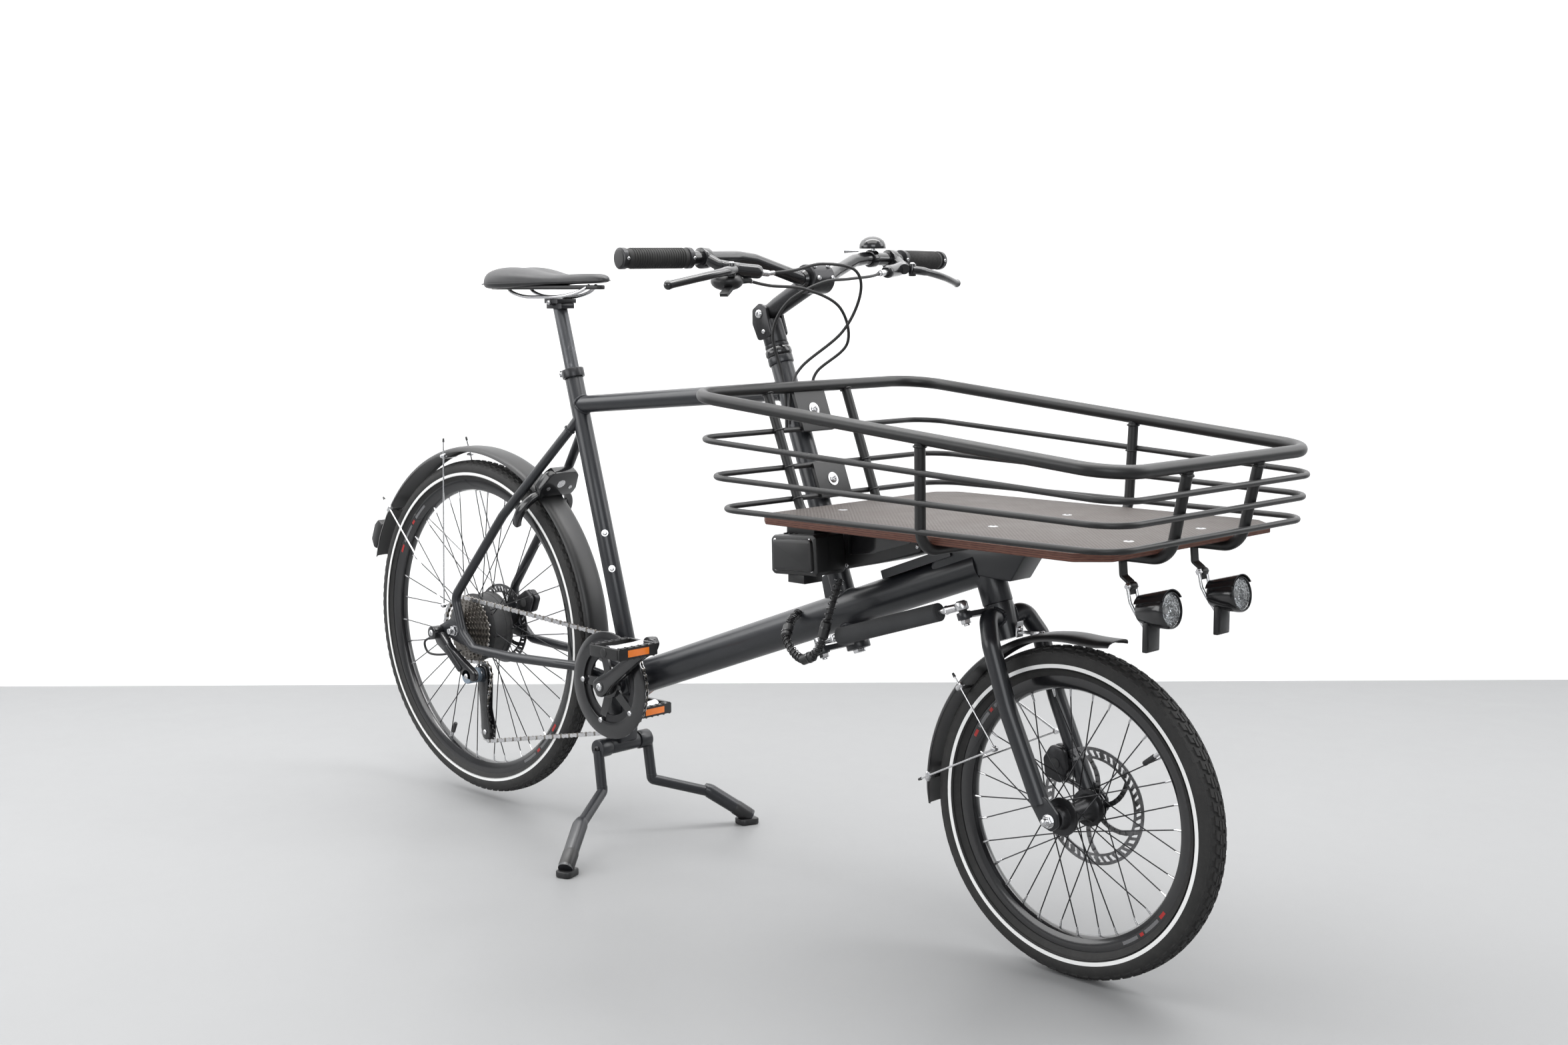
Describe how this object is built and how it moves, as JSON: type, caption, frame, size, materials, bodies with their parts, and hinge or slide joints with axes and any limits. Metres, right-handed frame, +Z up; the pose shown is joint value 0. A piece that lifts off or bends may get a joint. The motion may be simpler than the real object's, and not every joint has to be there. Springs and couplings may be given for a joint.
{
  "type": "cargo bicycle",
  "caption": "Front-loading electric cargo bicycle with a tubular basket over a small front wheel, tie-rod steering, hub motor and centre stand.",
  "frame": {"origin": "middle of the bicycle's bounding box, on the ground", "axes": "+X forward along the bicycle, +Y to the rider's left, +Z up"},
  "size_m": [2.0546, 0.755, 1.108],
  "materials": {
    "frame_paint": "satin",
    "basket_paint": "matte",
    "plywood": "matte",
    "tyre_rubber": "matte",
    "black_alloy": "satin",
    "black_plastic": "satin",
    "controller_shell": "satin",
    "saddle_cover": "satin",
    "grip_rubber": "matte",
    "bright_steel": "satin",
    "worn_steel": "worn",
    "lamp_housing": "gloss"
  },
  "bodies": {
    "frame": {"main_frame": "frame_paint", "rear_stay_right": "frame_paint", "rear_stay_left": "frame_paint", "seat_clamp": "black_alloy", "rear_mudguard": "black_plastic", "rear_mudguard_stays": "bright_steel", "rear_light": "black_plastic", "ring_lock_body": "black_plastic", "rear_axle": "bright_steel", "rear_brake_caliper": "black_alloy", "chain": "bright_steel", "derailleur": "worn_steel", "basket_frame": "basket_paint", "basket_board": "plywood", "battery_case": "black_plastic", "controller_box": "controller_shell", "wiring_harness": "black_plastic"},
    "ring_bolt": {"ring_lock_bolt": "bright_steel"},
    "stand": {"kickstand": "frame_paint"},
    "seat": {"seatpost": "worn_steel", "saddle": "saddle_cover"},
    "column": {"steering_column": "frame_paint", "stem_base": "frame_paint"},
    "bars": {"stem_arm": "frame_paint", "handlebar": "frame_paint", "grip_right": "grip_rubber", "grip_left": "grip_rubber", "brake_perch_right": "black_plastic", "brake_perch_left": "black_plastic", "shifter": "black_plastic", "bell": "black_plastic", "control_cables": "black_plastic"},
    "lever_right": {"brake_lever_right": "black_plastic"},
    "lever_left": {"brake_lever_left": "black_plastic"},
    "shift": {"shift_lever": "black_plastic"},
    "striker": {"bell_lever": "black_plastic"},
    "tie": {"tie_rod": "grip_rubber"},
    "fork": {"fork": "frame_paint", "front_axle": "bright_steel", "front_mudguard": "black_plastic", "front_mudguard_stays": "bright_steel", "front_brake_caliper": "black_alloy"},
    "front_wheel": {"front_tyre": "tyre_rubber", "front_rim": "black_alloy", "front_spokes": "worn_steel", "front_hub": "black_alloy"},
    "rear_wheel": {"rear_tyre": "tyre_rubber", "rear_rim": "black_alloy", "rear_spokes": "worn_steel", "rear_hub_motor": "black_alloy"},
    "sprockets": {"cassette": "worn_steel"},
    "crank": {"crank_right": "black_alloy", "crank_left": "black_alloy", "chainring": "black_alloy"},
    "pedal_r": {"pedal_right": "black_plastic"},
    "pedal_l": {"pedal_left": "black_plastic"},
    "jockey_u": {"jockey_upper": "black_plastic"},
    "jockey_l": {"jockey_lower": "black_plastic"},
    "light_r": {"lamp_right": "lamp_housing"},
    "light_l": {"lamp_left": "lamp_housing"}
  },
  "joints": [
    {"name": "steering", "type": "hinge", "parent": "frame", "child": "column", "pos_m": [0.16784, 0, 0.909], "axis": [-0.3543, 0, 0.9351], "range_deg": [-40, 40], "deforming": ["control_cables"]},
    {"name": "fork_steer", "type": "hinge", "parent": "frame", "child": "fork", "pos_m": [0.63084, 0, 0.543], "axis": [-0.3543, 0, 0.9351], "range_deg": [-40, 40]},
    {"name": "tie_rod_swing", "type": "hinge", "parent": "column", "child": "tie", "pos_m": [0.33109, -0.072, 0.44794], "axis": [-0.3543, 0, 0.9351], "range_deg": [-40, 40]},
    {"name": "front_wheel_spin", "type": "hinge", "parent": "fork", "child": "front_wheel", "pos_m": [0.77734, 0, 0.25], "axis": [0, 1, 0], "continuous": true},
    {"name": "rear_wheel_spin", "type": "hinge", "parent": "frame", "child": "rear_wheel", "pos_m": [-0.66666, 0, 0.349], "axis": [0, 1, 0], "continuous": true},
    {"name": "crank_spin", "type": "hinge", "parent": "frame", "child": "crank", "pos_m": [-0.21466, 0, 0.304], "axis": [0, 1, 0], "continuous": true},
    {"name": "sprocket_spin", "type": "hinge", "parent": "frame", "child": "sprockets", "pos_m": [-0.66666, 0, 0.349], "axis": [0, 1, 0], "continuous": true},
    {"name": "jockey_upper_spin", "type": "hinge", "parent": "frame", "child": "jockey_u", "pos_m": [-0.60466, -0.046, 0.27], "axis": [0, 1, 0], "continuous": true},
    {"name": "jockey_lower_spin", "type": "hinge", "parent": "frame", "child": "jockey_l", "pos_m": [-0.59566, -0.046, 0.153], "axis": [0, 1, 0], "continuous": true},
    {"name": "pedal_right_spin", "type": "hinge", "parent": "crank", "child": "pedal_r", "pos_m": [-0.0754, -0.082, 0.40151], "axis": [0, 1, 0], "continuous": true},
    {"name": "pedal_left_spin", "type": "hinge", "parent": "crank", "child": "pedal_l", "pos_m": [-0.35392, 0.082, 0.20649], "axis": [0, 1, 0], "continuous": true},
    {"name": "stem_tilt", "type": "hinge", "parent": "column", "child": "bars", "pos_m": [0.14034, 0, 0.979], "axis": [0, 1, 0], "range_deg": [-25, 15]},
    {"name": "brake_right", "type": "hinge", "parent": "bars", "child": "lever_right", "pos_m": [0.27434, -0.213, 1.051], "axis": [0, 0, -1], "range_deg": [0, 18], "stiffness_Nm_per_rad": 1, "springref_deg": -8.59},
    {"name": "brake_left", "type": "hinge", "parent": "bars", "child": "lever_left", "pos_m": [0.27434, 0.213, 1.051], "axis": [0, 0, 1], "range_deg": [0, 18], "stiffness_Nm_per_rad": 1, "springref_deg": -8.59},
    {"name": "shift_press", "type": "hinge", "parent": "bars", "child": "shift", "pos_m": [0.25234, -0.202, 1.016], "axis": [0, 0, 1], "range_deg": [0, 25], "stiffness_Nm_per_rad": 0.3, "springref_deg": -8.59},
    {"name": "bell_strike", "type": "hinge", "parent": "bars", "child": "striker", "pos_m": [0.20534, 0.15, 1.083], "axis": [0, 0, 1], "range_deg": [0, 20], "stiffness_Nm_per_rad": 0.2, "springref_deg": -8.59},
    {"name": "stand_fold", "type": "hinge", "parent": "frame", "child": "stand", "pos_m": [-0.24666, 0, 0.18], "axis": [0, 1, 0], "range_deg": [0, 110]},
    {"name": "ring_lock_close", "type": "hinge", "parent": "frame", "child": "ring_bolt", "pos_m": [-0.46959, 0, 0.59642], "axis": [-0.809, 0, 0.5878], "range_deg": [0, 138]},
    {"name": "seatpost_slide", "type": "slide", "parent": "frame", "child": "seat", "axis": [-0.2748, 0, 0.9615], "range_m": [-0.09, 0.03]},
    {"name": "lamp_right_tilt", "type": "hinge", "parent": "frame", "child": "light_r", "pos_m": [0.92834, -0.09, 0.617], "axis": [0, 1, 0], "range_deg": [-20, 20]},
    {"name": "lamp_left_tilt", "type": "hinge", "parent": "frame", "child": "light_l", "pos_m": [0.92834, 0.09, 0.617], "axis": [0, 1, 0], "range_deg": [-20, 20]}
  ],
  "couplings": [
    {"joint": "fork_steer", "follows": "steering", "ratio": 1},
    {"joint": "tie_rod_swing", "follows": "steering", "ratio": -1},
    {"joint": "pedal_right_spin", "follows": "crank_spin", "ratio": -1},
    {"joint": "pedal_left_spin", "follows": "crank_spin", "ratio": -1},
    {"joint": "sprocket_spin", "follows": "crank_spin", "ratio": 1.25}
  ]
}
